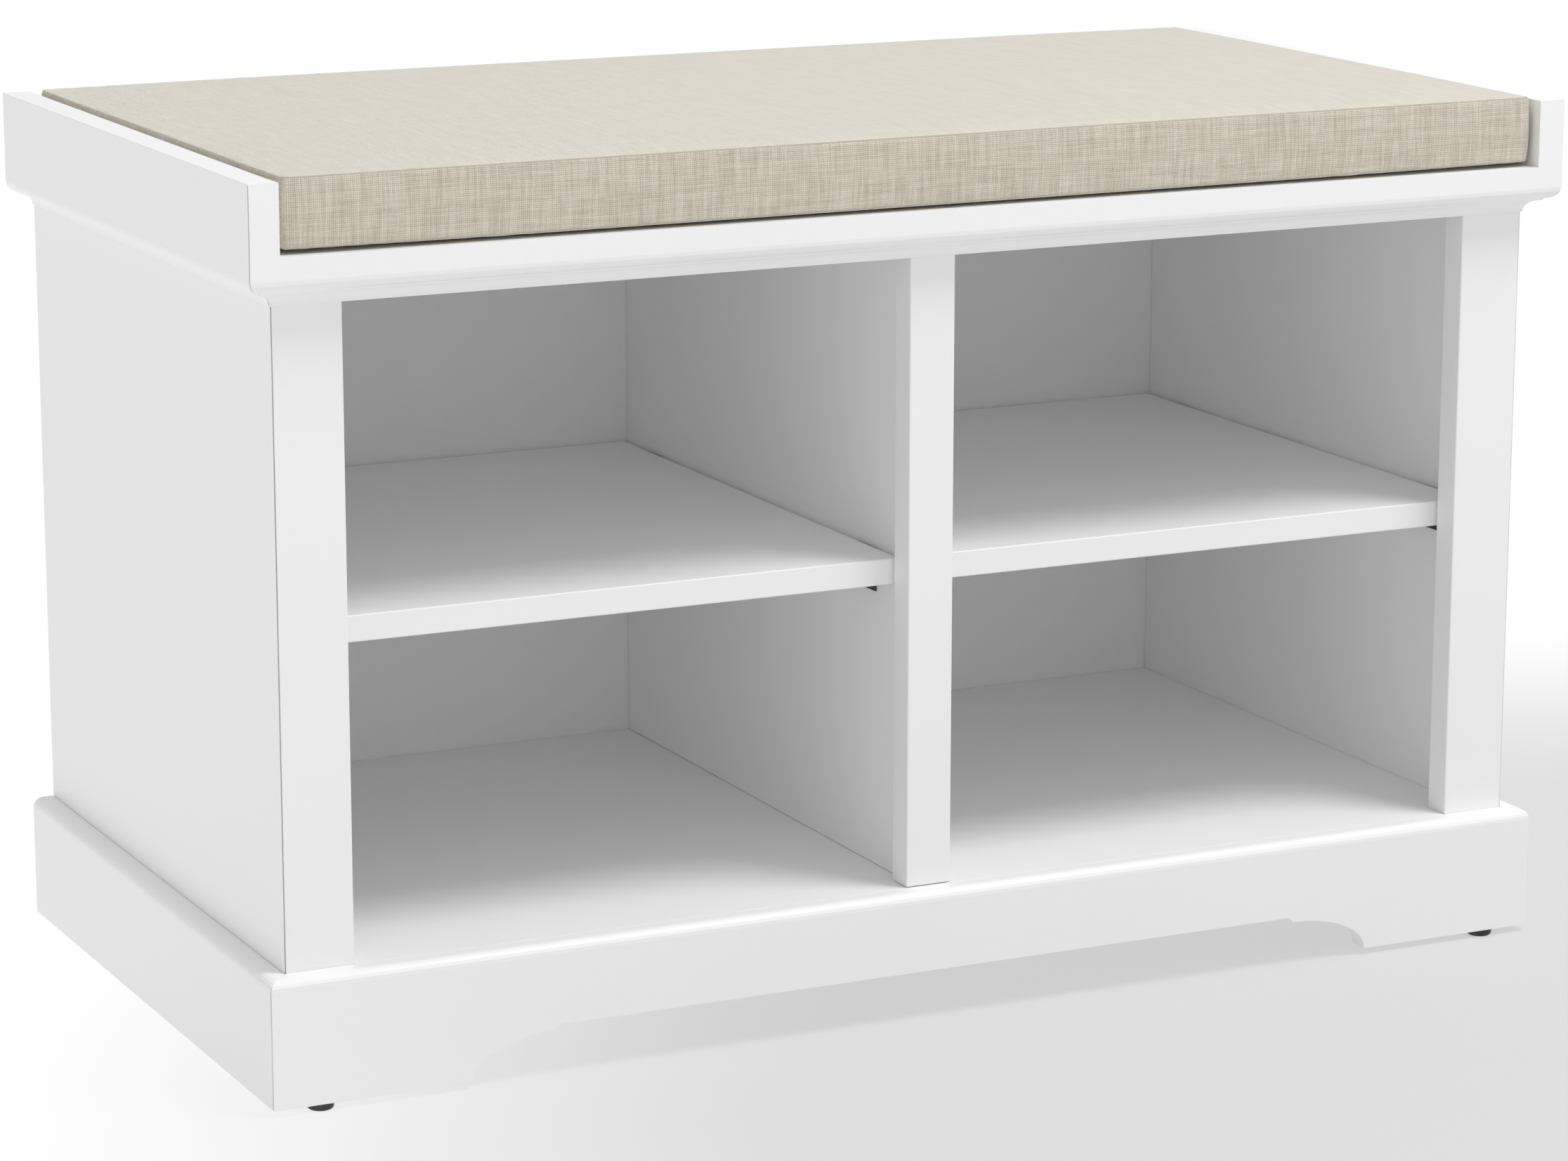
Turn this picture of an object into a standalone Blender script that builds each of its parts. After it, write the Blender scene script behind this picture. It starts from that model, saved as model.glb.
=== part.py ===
"""Entryway bench: a painted carcass of four cubbies with applied bands, two loose shelves and a cushion.

Metres, +Z up. The origin is on the floor under the middle of the bench, X runs along its width and
the open front faces -Y.
"""
import math

import bmesh
import bpy
from mathutils import Matrix, Vector

# ---------------------------------------------------------------- driving dimensions
CARCASS_WIDTH = 0.778
BENCH_DEPTH = 0.421
ARM_TOP = 0.505
DECK_TOP = 0.466
BAND_BOTTOM = 0.438
BASE_TOP = 0.076
GLIDE_HEIGHT = 0.004

BAND_THICKNESS = 0.017
BASE_THICKNESS = 0.013
BOARD_THICKNESS = 0.016
DIVIDER_THICKNESS = 0.015
SHELF_THICKNESS = 0.015
STILE_THICKNESS = 0.018
STILE_WIDTH = 0.040
CENTRE_STILE_WIDTH = 0.028
BACK_THICKNESS = 0.004
BACK_RABBET = 0.008

SHELF_TOP = 0.264
SHELF_END_GAP = 0.0022
SHELF_SETBACK = 0.002
SHELF_BACK_GAP = 0.0015
SUPPORT_LENGTH = 0.024
SUPPORT_LEG = 0.012
SUPPORT_SHEET = 0.0012
SUPPORT_PIN_DROP = 0.006
SUPPORT_PIN_LENGTH = 0.0062
SUPPORT_PIN_RADIUS = 0.0025
SUPPORT_PLACES = (-0.130, 0.163)

ARCH_HEIGHT = 0.0255
ARCH_STEP = 0.0030
ARCH_FLAT_HALF = 0.2365
ARCH_CURVE = 0.050

CUSHION_SIDE_GAP = 0.0025
CUSHION_FRONT = -0.2075
CUSHION_BACK = 0.2045
CUSHION_EDGE = 0.5080
CUSHION_CROWN = 0.0040
CUSHION_ROUND = 0.006

GLIDE_RADIUS = 0.0075
GLIDE_FRONT_X = 0.3725
GLIDE_FRONT_SHIFT = 0.0005
GLIDE_REAR_INSET = 0.030
CORNER_BLOCK_SIZE = 0.028
CORNER_BLOCK_LIFT = 0.004
SCREW_PLACES = (-0.120, 0.120)
SCREW_SINK = 0.0003
GAP = 0.0003
CLEAR = 0.0005

# ---------------------------------------------------------------- levels worked out from them
SIDE_FACE = CARCASS_WIDTH / 2
SIDE_INNER = SIDE_FACE - BOARD_THICKNESS
BACK_FACE = BENCH_DEPTH / 2
FRONT_FACE = -BENCH_DEPTH / 2 + BAND_THICKNESS
STILE_BACK = FRONT_FACE + STILE_THICKNESS
BACK_PANEL_FRONT = BACK_FACE - BACK_THICKNESS
DECK_BOTTOM = DECK_TOP - BOARD_THICKNESS
PANEL_TOP = DECK_BOTTOM - GAP
FLOOR_TOP = BASE_TOP
FLOOR_BOTTOM = FLOOR_TOP - BOARD_THICKNESS
SHELF_BOTTOM = SHELF_TOP - SHELF_THICKNESS
SHELF_FRONT = STILE_BACK + SHELF_SETBACK
HALF_GAP = GAP / 2

PAINT = {"color": (0.86, 0.86, 0.86), "roughness": 0.42, "metallic": 0.0}
BACKING = {"color": (0.80, 0.80, 0.79), "roughness": 0.60, "metallic": 0.0}
FABRIC = {"color": (0.62, 0.54, 0.42), "roughness": 0.95, "metallic": 0.0}
DARK_STEEL = {"color": (0.05, 0.05, 0.05), "roughness": 0.45, "metallic": 0.6}
PLASTIC = {"color": (0.02, 0.02, 0.02), "roughness": 0.50, "metallic": 0.0}
ZINC = {"color": (0.70, 0.69, 0.66), "roughness": 0.35, "metallic": 1.0}


# ---------------------------------------------------------------- tools for building solids
def clear_scene():
    for item in list(bpy.data.objects):
        bpy.data.objects.remove(item, do_unlink=True)


def material(look, name):
    found = bpy.data.materials.get(name)
    if found:
        return found
    made = bpy.data.materials.new(name)
    made.use_nodes = True
    shader = made.node_tree.nodes["Principled BSDF"]
    shader.inputs["Base Color"].default_value = (*look["color"], 1.0)
    shader.inputs["Roughness"].default_value = look["roughness"]
    shader.inputs["Metallic"].default_value = look["metallic"]
    return made


def finish(name, bm, look=None, smooth=False):
    """Turn a bmesh into a named object with faces pointing out."""
    bmesh.ops.recalc_face_normals(bm, faces=bm.faces)
    mesh = bpy.data.meshes.new(name)
    bm.to_mesh(mesh)
    bm.free()
    item = bpy.data.objects.new(name, mesh)
    bpy.context.scene.collection.objects.link(item)
    if look:
        mesh.materials.append(material(look, name))
    if smooth:
        mesh.shade_smooth()
        mesh.set_sharp_from_angle(angle=math.radians(35))
    return item


def add_prism(bm, outline, low, high, place):
    """Extrude a closed outline of (u, v) points from low to high; place() turns (u, v, w) into a point."""
    rings = [[bm.verts.new(place(u, v, level)) for u, v in outline] for level in (low, high)]
    count = len(outline)
    bm.faces.new(rings[0])
    bm.faces.new(rings[1])
    for i in range(count):
        j = (i + 1) % count
        bm.faces.new((rings[0][i], rings[0][j], rings[1][j], rings[1][i]))


def plan_board(name, outline, low, high, look=PAINT):
    """A board drawn in plan: (x, y) points, raised from low to high."""
    bm = bmesh.new()
    add_prism(bm, outline, low, high, lambda x, y, z: (x, y, z))
    return finish(name, bm, look)


def block(name, low, high, look=PAINT):
    """A plain rectangular board between two corners."""
    outline = [(low[0], low[1]), (high[0], low[1]), (high[0], high[1]), (low[0], high[1])]
    return plan_board(name, outline, low[2], high[2], look)


def mirrored(outline, side):
    return [(side * x, y) for x, y in outline]


def add_lathe(bm, profile, matrix, segments=16):
    """Revolve (radius, height) points, which start and end on the axis, about matrix's own Z."""
    rings = []
    for radius, height in profile:
        if radius == 0:
            rings.append([bm.verts.new(matrix @ Vector((0, 0, height)))])
            continue
        turns = [2 * math.pi * i / segments for i in range(segments)]
        rings.append([bm.verts.new(matrix @ Vector((radius * math.cos(t), radius * math.sin(t), height)))
                      for t in turns])
    for lower, upper in zip(rings, rings[1:]):
        for i in range(segments):
            j = (i + 1) % segments
            corners = [
                lower[i % len(lower)], lower[j % len(lower)],
                upper[j % len(upper)], upper[i % len(upper)],
            ]
            bm.faces.new(list(dict.fromkeys(corners)))


def pointing(place, direction):
    """A matrix at place whose own Z runs along direction."""
    return Matrix.Translation(place) @ Vector((0, 0, 1)).rotation_difference(
        Vector(direction)
    ).to_matrix().to_4x4()


def cut(item, name, build):
    """Cut the solids that build() draws out of item."""
    bm = bmesh.new()
    build(bm)
    cutter = finish(name, bm)
    cutter.hide_render = True
    cutter.display_type = "WIRE"
    boolean = item.modifiers.new(name, "BOOLEAN")
    boolean.operation = "DIFFERENCE"
    boolean.solver = "EXACT"
    boolean.object = cutter


def drill(item, name, holes):
    """Drill every hole given as (profile, place, direction)."""
    def draw(bm):
        for profile, place, direction in holes:
            add_lathe(bm, profile, pointing(place, direction), 12)
    cut(item, name, draw)


def arc(centre, radius, start, stop, steps):
    """Points on a circle, or on an ellipse when radius is a pair; angles in degrees."""
    wide, tall = radius if isinstance(radius, tuple) else (radius, radius)
    angles = [math.radians(start + (stop - start) * i / steps) for i in range(steps + 1)]
    return [(centre[0] + wide * math.cos(a), centre[1] + tall * math.sin(a)) for a in angles]


# ---------------------------------------------------------------- applied boards and their profiles
def band_profile(top):
    """Section of the top band as (proud, height): flat face, quarter round, small step and cove below."""
    quarter = arc((0.0100, BAND_BOTTOM + 0.0155), 0.0070, 0, -90, 5)
    cove = arc((0.0092, BAND_BOTTOM), (0.0082, 0.0074), 90, 180, 5)
    return [(HALF_GAP, BAND_BOTTOM), (HALF_GAP, top), (BAND_THICKNESS, top)] + quarter + cove


def base_profile():
    """Section of the base board: a flat ledge on top and a rounded front edge."""
    radius = 0.0058
    edge = arc((BASE_THICKNESS - radius, BASE_TOP - radius), radius, 90, 0, 5)
    return [(BASE_THICKNESS, GLIDE_HEIGHT), (HALF_GAP, GLIDE_HEIGHT), (HALF_GAP, BASE_TOP)] + edge


def sweep_board(name, profile, ends, place):
    """Run a (proud, height) profile between two ends, each a function of how proud the point is."""
    bm = bmesh.new()
    rings = [[bm.verts.new(place(proud, end(proud), height)) for proud, height in profile] for end in ends]
    count = len(profile)
    bm.faces.new(rings[0])
    bm.faces.new(rings[1])
    for i in range(count):
        j = (i + 1) % count
        bm.faces.new((rings[0][i], rings[0][j], rings[1][j], rings[1][i]))
    return finish(name, bm, PAINT)


def front_board(name, profile):
    """A board across the front, mitred at both ends."""
    ends = (lambda proud: -(SIDE_FACE + proud - GAP), lambda proud: SIDE_FACE + proud - GAP)
    return sweep_board(name, profile, ends, lambda proud, x, z: (x, FRONT_FACE - proud, z))


def side_board(name, profile, side):
    """A board along one side, mitred at the front and square at the back."""
    ends = (lambda proud: FRONT_FACE - proud + GAP, lambda proud: BACK_FACE)
    return sweep_board(name, profile, ends, lambda proud, y, z: (side * (SIDE_FACE + proud), y, z))


def arch_outline():
    """The bracket-foot cut-out seen from the front: elliptical ends, a small step, then a flat top."""
    low = GLIDE_HEIGHT
    curve_top = ARCH_HEIGHT - ARCH_STEP
    right = arc((ARCH_FLAT_HALF, low), (ARCH_CURVE, curve_top), 0, 90, 9)
    right.append((ARCH_FLAT_HALF - 0.003, low + ARCH_HEIGHT))
    left = [(-x, z) for x, z in reversed(right)]
    below = low - 0.010
    return [(ARCH_FLAT_HALF + ARCH_CURVE, below)] + right + left + [(-ARCH_FLAT_HALF - ARCH_CURVE, below)]


# ---------------------------------------------------------------- fasteners and their holes
SCREW_PROFILE = [(0, -0.0420), (0.0012, -0.0385), (0.0020, -0.0350), (0.0020, -0.0030), (0.0040, 0), (0, 0)]
SCREW_CLEARANCE = [
    (0, -0.0200), (0.0024, -0.0200), (0.0024, -0.0032), (0.0044, 0), (0.0044, CLEAR), (0, CLEAR),
]
SCREW_PILOT = [(0, -0.0270), (0.0023, -0.0270), (0.0023, CLEAR), (0, CLEAR)]
PIN_HOLE = [(0, -0.0100), (0.0028, -0.0100), (0.0028, CLEAR), (0, CLEAR)]
NAIL_HOLE = [(0, -0.0130), (0.0014, -0.0130), (0.0014, CLEAR), (0, CLEAR)]

SCREW_SEAT = BOARD_THICKNESS + GAP
SIDE_MIDDLE = SIDE_FACE - BOARD_THICKNESS / 2
FLOOR_MIDDLE = (FLOOR_TOP + FLOOR_BOTTOM) / 2


def screw(name, place, direction):
    """A countersunk screw whose head faces along direction, with a cross recess."""
    bm = bmesh.new()
    matrix = pointing(place, direction)
    add_lathe(bm, SCREW_PROFILE, matrix)
    item = finish(name, bm, ZINC, smooth=True)
    long, short = 0.0022, 0.0005
    cross = [
        (long, -short), (long, short), (short, short), (short, long),
        (-short, long), (-short, short), (-long, short), (-long, -short),
        (-short, -short), (-short, -long), (short, -long), (short, -short),
    ]
    cut(item, name + "_recess",
        lambda bm: add_prism(bm, cross, -0.0013, CLEAR, lambda u, v, w: matrix @ Vector((u, v, w))))


def screw_list():
    """Every screw as name: (place of the head, direction the head faces)."""
    screws = {}
    for end, y in zip(("front", "rear"), SCREW_PLACES):
        for side, x in (("left", -SIDE_MIDDLE), ("middle", 0.0), ("right", SIDE_MIDDLE)):
            screws[f"deck_screw_{side}_{end}"] = ((x, y, DECK_TOP - SCREW_SINK), (0, 0, 1))
        for side, sign in (("left", -1), ("right", 1)):
            head = (sign * (SIDE_FACE - SCREW_SINK), y, FLOOR_MIDDLE)
            screws[f"floor_screw_{side}_{end}"] = (head, (sign, 0, 0))
        screws[f"divider_screw_{end}"] = ((0.0, y, FLOOR_BOTTOM + SCREW_SINK), (0, 0, -1))
    return screws


def glide_places():
    """Front glides sit under the base board's feet, rear glides under the side panels."""
    places = {}
    for side, sign in (("left", -1), ("right", 1)):
        front = FRONT_FACE - BASE_THICKNESS / 2 + GLIDE_FRONT_SHIFT
        places[f"glide_front_{side}"] = (sign * GLIDE_FRONT_X, front)
        places[f"glide_rear_{side}"] = (sign * SIDE_MIDDLE, BACK_FACE - GLIDE_REAR_INSET)
    return places


def glide(name, place):
    """A nail-on glide: a domed disc on the floor with a nail up into the wood."""
    top = GLIDE_HEIGHT - GAP
    profile = [(0, 0), (GLIDE_RADIUS - 0.0012, 0), (GLIDE_RADIUS - 0.0003, 0.0009), (GLIDE_RADIUS, 0.0020),
               (GLIDE_RADIUS, top), (0.0010, top), (0.0010, 0.0130), (0, 0.0150)]
    bm = bmesh.new()
    add_lathe(bm, profile, Matrix.Translation((*place, 0)), 20)
    finish(name, bm, PLASTIC, smooth=True)


# ---------------------------------------------------------------- carcass
def side_panel(name, side):
    outline = [(SIDE_FACE, FRONT_FACE + GAP), (SIDE_FACE, BACK_FACE), (SIDE_FACE - BACK_RABBET, BACK_FACE),
               (SIDE_FACE - BACK_RABBET, BACK_PANEL_FRONT - GAP), (SIDE_INNER, BACK_PANEL_FRONT - GAP),
               (SIDE_INNER, FRONT_FACE + BOARD_THICKNESS + GAP)]
    item = plan_board(name, mirrored(outline, side), GLIDE_HEIGHT, PANEL_TOP)
    holes = []
    for y in SCREW_PLACES:
        holes.append((SCREW_PILOT, (side * SIDE_MIDDLE, y, PANEL_TOP), (0, 0, 1)))
        holes.append((SCREW_CLEARANCE, (side * SIDE_FACE, y, FLOOR_MIDDLE), (side, 0, 0)))
    for y in SUPPORT_PLACES:
        holes.append((PIN_HOLE, (side * SIDE_INNER, y, SHELF_BOTTOM - SUPPORT_PIN_DROP), (-side, 0, 0)))
    rear = glide_places()["glide_rear_right"]
    holes.append((NAIL_HOLE, (side * rear[0], rear[1], GLIDE_HEIGHT), (0, 0, -1)))
    drill(item, name + "_holes", holes)


def stile(name, side):
    """Full-height face stile, mitred to the side panel along its outer edge."""
    inner = SIDE_FACE - STILE_WIDTH
    outline = [(SIDE_FACE - GAP, FRONT_FACE), (inner, FRONT_FACE), (inner, STILE_BACK),
               (SIDE_INNER - GAP, STILE_BACK), (SIDE_INNER - GAP, FRONT_FACE + BOARD_THICKNESS)]
    plan_board(name, mirrored(outline, side), GLIDE_HEIGHT, PANEL_TOP)


def seat_deck():
    edge, step = SIDE_FACE - HALF_GAP, SIDE_FACE - BACK_RABBET
    rear = BACK_PANEL_FRONT - GAP
    right = [(edge, FRONT_FACE + HALF_GAP), (edge, BACK_FACE), (step, BACK_FACE), (step, rear)]
    outline = right + [(-x, y) for x, y in reversed(right)]
    item = plan_board("seat_deck", outline, DECK_BOTTOM, DECK_TOP)
    holes = [(SCREW_CLEARANCE, (x, y, DECK_TOP), (0, 0, 1))
             for x in (-SIDE_MIDDLE, 0.0, SIDE_MIDDLE) for y in SCREW_PLACES]
    drill(item, "seat_deck_holes", holes)


def bottom_panel():
    """The cubby floor, notched around the two face stiles."""
    edge, notch = SIDE_INNER - GAP, SIDE_FACE - STILE_WIDTH - GAP
    rear = BACK_PANEL_FRONT - GAP
    right = [
        (notch, FRONT_FACE + HALF_GAP), (notch, STILE_BACK + GAP), (edge, STILE_BACK + GAP), (edge, rear),
    ]
    outline = right + [(-x, y) for x, y in reversed(right)]
    item = plan_board("bottom_panel", outline, FLOOR_BOTTOM, FLOOR_TOP)
    holes = []
    for y in SCREW_PLACES:
        holes.append((SCREW_CLEARANCE, (0.0, y, FLOOR_BOTTOM), (0, 0, -1)))
        holes += [(SCREW_PILOT, (side * edge, y, FLOOR_MIDDLE), (side, 0, 0)) for side in (-1, 1)]
    drill(item, "bottom_panel_holes", holes)


def divider_panel():
    half = DIVIDER_THICKNESS / 2
    item = block("divider_panel", (-half, STILE_BACK + GAP, FLOOR_TOP + GAP),
                 (half, BACK_PANEL_FRONT - GAP, PANEL_TOP))
    through = [
        (0, -DIVIDER_THICKNESS - CLEAR), (0.0028, -DIVIDER_THICKNESS - CLEAR), (0.0028, CLEAR), (0, CLEAR),
    ]
    holes = []
    for y in SCREW_PLACES:
        holes.append((SCREW_PILOT, (0.0, y, PANEL_TOP), (0, 0, 1)))
        holes.append((SCREW_PILOT, (0.0, y, FLOOR_TOP + GAP), (0, 0, -1)))
    for y in SUPPORT_PLACES:
        holes.append((through, (half, y, SHELF_BOTTOM - SUPPORT_PIN_DROP), (1, 0, 0)))
    drill(item, "divider_panel_holes", holes)


def back_panel():
    edge = SIDE_FACE - BACK_RABBET - GAP
    block(
        "back_panel", (-edge, BACK_PANEL_FRONT, FLOOR_BOTTOM + GAP), (edge, BACK_FACE, DECK_TOP - GAP),
        BACKING,
    )


def centre_stile():
    half = CENTRE_STILE_WIDTH / 2
    block("centre_stile", (-half, FRONT_FACE, FLOOR_TOP + GAP), (half, STILE_BACK, PANEL_TOP))


def rear_rail():
    edge = SIDE_INNER - GAP
    block(
        "base_rear_rail", (-edge, BACK_FACE - BOARD_THICKNESS, GLIDE_HEIGHT),
        (edge, BACK_FACE, FLOOR_BOTTOM - GAP),
    )


def corner_block(name, side, front):
    """A glue block in each inner corner of the base, under the bottom panel."""
    size = CORNER_BLOCK_SIZE
    outer = SIDE_INNER - GAP
    near = STILE_BACK + GAP if front else BACK_FACE - BOARD_THICKNESS - GAP - size
    xs = sorted((side * outer, side * (outer - size)))
    block(name, (xs[0], near, GLIDE_HEIGHT + CORNER_BLOCK_LIFT), (xs[1], near + size, FLOOR_BOTTOM - GAP))


# ---------------------------------------------------------------- bands
def front_rail():
    """The top band's front board: a low rail with upturned ends beside the cushion."""
    item = front_board("front_rail", band_profile(ARM_TOP))
    half = SIDE_FACE
    outline = [(-half, FRONT_FACE - BAND_THICKNESS - 0.01), (half, FRONT_FACE - BAND_THICKNESS - 0.01),
               (half, FRONT_FACE + 0.01), (-half, FRONT_FACE + 0.01)]
    cut(item, "front_rail_cut",
        lambda bm: add_prism(bm, outline, DECK_TOP, ARM_TOP + 0.01, lambda x, y, z: (x, y, z)))


def base_front():
    item = front_board("base_front", base_profile())
    cut(item, "base_front_arch",
        lambda bm: add_prism(
            bm, arch_outline(), FRONT_FACE - 0.02, FRONT_FACE + 0.01, lambda x, z, y: (x, y, z)
        ))
    holes = [(NAIL_HOLE, (*place, GLIDE_HEIGHT), (0, 0, -1))
             for name, place in glide_places().items() if "front" in name]
    drill(item, "base_front_holes", holes)


# ---------------------------------------------------------------- shelves
def shelf(name, low, high):
    block(name, (low + SHELF_END_GAP, SHELF_FRONT, SHELF_BOTTOM),
          (high - SHELF_END_GAP, BACK_PANEL_FRONT - SHELF_BACK_GAP, SHELF_TOP))


def shelf_support(name, wall, inward, y):
    """A dark steel angle: one leg under the shelf, one up the wall beside it, and a pin in the wall."""
    foot = wall + inward * SUPPORT_LEG
    sheet = wall + inward * (GAP + SUPPORT_SHEET)
    under = SHELF_BOTTOM - GAP
    outline = [(wall + inward * GAP, SHELF_BOTTOM - 0.011), (sheet, SHELF_BOTTOM - 0.011),
               (sheet, under - SUPPORT_SHEET), (foot, under - SUPPORT_SHEET), (foot, under), (sheet, under),
               (sheet, SHELF_TOP - 0.001), (wall + inward * GAP, SHELF_TOP - 0.001)]
    bm = bmesh.new()
    add_prism(bm, outline, y - SUPPORT_LENGTH / 2, y + SUPPORT_LENGTH / 2, lambda x, z, w: (x, w, z))
    item = finish(name, bm, DARK_STEEL)
    tip = wall - inward * (SUPPORT_PIN_LENGTH - GAP)
    root = SUPPORT_PIN_LENGTH + 0.0004
    pin = [(0, 0), (0.0020, 0), (SUPPORT_PIN_RADIUS, 0.0006), (SUPPORT_PIN_RADIUS, root), (0, root)]
    bm = bmesh.new()
    add_lathe(bm, pin, pointing((tip, y, SHELF_BOTTOM - SUPPORT_PIN_DROP), (inward, 0, 0)), 12)
    stud = finish(name + "_pin", bm)
    stud.hide_render = True
    stud.display_type = "WIRE"
    union = item.modifiers.new("pin", "BOOLEAN")
    union.operation = "UNION"
    union.solver = "EXACT"
    union.object = stud


def shelves():
    half = DIVIDER_THICKNESS / 2
    for side, low, high in (("left", -SIDE_INNER, -half), ("right", half, SIDE_INNER)):
        shelf(f"shelf_{side}", low, high)
        for end, y in zip(("front", "rear"), SUPPORT_PLACES):
            shelf_support(f"shelf_support_{side}_{end}_1", low, 1, y)
            shelf_support(f"shelf_support_{side}_{end}_2", high, -1, y)


# ---------------------------------------------------------------- cushion
def cushion():
    """A crowned pad with rounded edges that fills the deck between the arms."""
    half = SIDE_FACE - CUSHION_SIDE_GAP
    across, along = 16, 10
    bm = bmesh.new()
    bmesh.ops.create_grid(bm, x_segments=across, y_segments=along, size=0.5)
    solid = bmesh.ops.extrude_face_region(bm, geom=bm.faces[:])
    top = {item for item in solid["geom"] if isinstance(item, bmesh.types.BMVert)}
    for vert in bm.verts:
        u, v = 2 * vert.co.x, 2 * vert.co.y
        crown = CUSHION_CROWN * (1 - u ** 4) * (1 - v ** 4)
        y = (CUSHION_FRONT + CUSHION_BACK) / 2 + v * (CUSHION_BACK - CUSHION_FRONT) / 2
        z = CUSHION_EDGE + crown if vert in top else DECK_TOP + GAP
        vert.co = (u * half, y, z)
    item = finish("cushion", bm, FABRIC, smooth=True)
    bevel = item.modifiers.new("soft_edge", "BEVEL")
    bevel.width = CUSHION_ROUND
    bevel.segments = 3
    bevel.limit_method = "ANGLE"
    bevel.angle_limit = math.radians(40)


# ---------------------------------------------------------------- the whole bench
def build_bench():
    clear_scene()
    for side, sign in (("left", -1), ("right", 1)):
        side_panel(f"side_panel_{side}", sign)
        stile(f"stile_{side}", sign)
        side_board(f"arm_board_{side}", band_profile(ARM_TOP), sign)
        side_board(f"base_board_{side}", base_profile(), sign)
        corner_block(f"corner_block_front_{side}", sign, True)
        corner_block(f"corner_block_rear_{side}", sign, False)
    seat_deck()
    bottom_panel()
    divider_panel()
    back_panel()
    centre_stile()
    rear_rail()
    front_rail()
    base_front()
    shelves()
    for name, (place, direction) in screw_list().items():
        screw(name, place, direction)
    for name, place in glide_places().items():
        glide(name, place)
    cushion()


build_bench()
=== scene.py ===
import math

import bmesh
import bpy
import numpy as np
from mathutils import Matrix, Vector, noise
from mathutils.bvhtree import BVHTree


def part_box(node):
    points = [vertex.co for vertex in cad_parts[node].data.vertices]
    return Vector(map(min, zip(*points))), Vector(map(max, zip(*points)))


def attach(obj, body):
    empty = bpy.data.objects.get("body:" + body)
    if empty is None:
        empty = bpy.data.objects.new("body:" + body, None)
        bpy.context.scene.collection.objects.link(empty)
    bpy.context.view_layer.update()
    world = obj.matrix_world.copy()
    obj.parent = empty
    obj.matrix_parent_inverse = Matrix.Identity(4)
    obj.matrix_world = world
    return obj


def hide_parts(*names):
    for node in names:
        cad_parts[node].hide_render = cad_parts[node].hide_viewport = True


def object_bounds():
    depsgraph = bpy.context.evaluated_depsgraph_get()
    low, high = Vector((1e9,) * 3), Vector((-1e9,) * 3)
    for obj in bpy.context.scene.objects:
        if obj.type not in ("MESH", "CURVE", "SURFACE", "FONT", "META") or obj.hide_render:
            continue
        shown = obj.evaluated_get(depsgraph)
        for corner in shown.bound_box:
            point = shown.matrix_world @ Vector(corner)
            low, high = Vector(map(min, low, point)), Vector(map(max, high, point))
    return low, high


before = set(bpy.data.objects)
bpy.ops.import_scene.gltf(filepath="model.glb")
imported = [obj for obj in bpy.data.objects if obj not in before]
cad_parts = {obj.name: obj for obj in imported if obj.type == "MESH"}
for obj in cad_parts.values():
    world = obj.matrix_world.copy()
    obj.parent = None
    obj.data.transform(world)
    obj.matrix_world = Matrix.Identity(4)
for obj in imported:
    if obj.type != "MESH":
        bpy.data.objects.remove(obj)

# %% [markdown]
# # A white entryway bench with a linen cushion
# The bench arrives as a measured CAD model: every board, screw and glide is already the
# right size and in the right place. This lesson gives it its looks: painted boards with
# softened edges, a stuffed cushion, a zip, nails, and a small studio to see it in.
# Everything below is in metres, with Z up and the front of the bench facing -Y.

CAD_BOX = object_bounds()
SIZE = CAD_BOX[1] - CAD_BOX[0]
print(f"{len(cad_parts)} CAD pieces, {SIZE.x:.3f} x {SIZE.y:.3f} x {SIZE.z:.3f} m")

# %% [markdown]
# ## The camera
# A catalogue view: a long lens a few steps away keeps the sides of the furniture nearly
# parallel. A camera looks along its own -Z, so its turn is built from three directions,
# right, up and backwards, which is easier to check than three Euler angles.

# %% Camera
CAMERA_PLACE = Vector((-1.2543, -2.5837, 0.8639))
CAMERA_YAW, CAMERA_PITCH, CAMERA_ROLL = (math.radians(d) for d in (25.939, 12.741, 0.054))
FOCAL_LENGTH = 113.03

forward = Vector((
    math.sin(CAMERA_YAW) * math.cos(CAMERA_PITCH),
    math.cos(CAMERA_YAW) * math.cos(CAMERA_PITCH),
    -math.sin(CAMERA_PITCH),
))
level_right = forward.cross(Vector((0, 0, 1))).normalized()
level_up = level_right.cross(forward)
right = level_right * math.cos(CAMERA_ROLL) + level_up * math.sin(CAMERA_ROLL)
up = right.cross(forward)
turn = Matrix((right, up, -forward)).transposed().to_4x4()
camera_data = bpy.data.cameras.new("studio_camera")
camera_data.lens = FOCAL_LENGTH
camera_data.clip_start, camera_data.clip_end = 0.05, 60
camera = bpy.data.objects.new("studio_camera", camera_data)
camera.matrix_world = Matrix.Translation(CAMERA_PLACE) @ turn
bpy.context.collection.objects.link(camera)
bpy.context.scene.camera = camera
print("camera", [round(c, 3) for c in camera.location], "lens", camera_data.lens)

# %% [markdown]
# ## Writing materials as sums
# A procedural material is a graph of small nodes. Drawn by hand it is quick to see but slow
# to repeat, so the graph is written as ordinary Python here: a `Wire` is one number on its
# way through the graph, and `1 - wire * 0.2` adds the Math nodes that work it out. Every
# other node comes from `Finish.node`.

# %% Wires and finishes
class Wire:
    """One value on its way through a material."""

    def __init__(self, finish, socket):
        self.finish = finish
        self.socket = socket

    def sum(self, operation, first, second):
        """A new wire that carries the result of one Math node."""
        inputs = {0: first, 1: second}
        return self.finish.node("Math", {"operation": operation}, inputs)

    def __add__(self, other):
        return self.sum("ADD", self, other)

    def __radd__(self, other):
        return self.sum("ADD", other, self)

    def __sub__(self, other):
        return self.sum("SUBTRACT", self, other)

    def __rsub__(self, other):
        return self.sum("SUBTRACT", other, self)

    def __mul__(self, other):
        return self.sum("MULTIPLY", self, other)

    def __rmul__(self, other):
        return self.sum("MULTIPLY", other, self)


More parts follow.
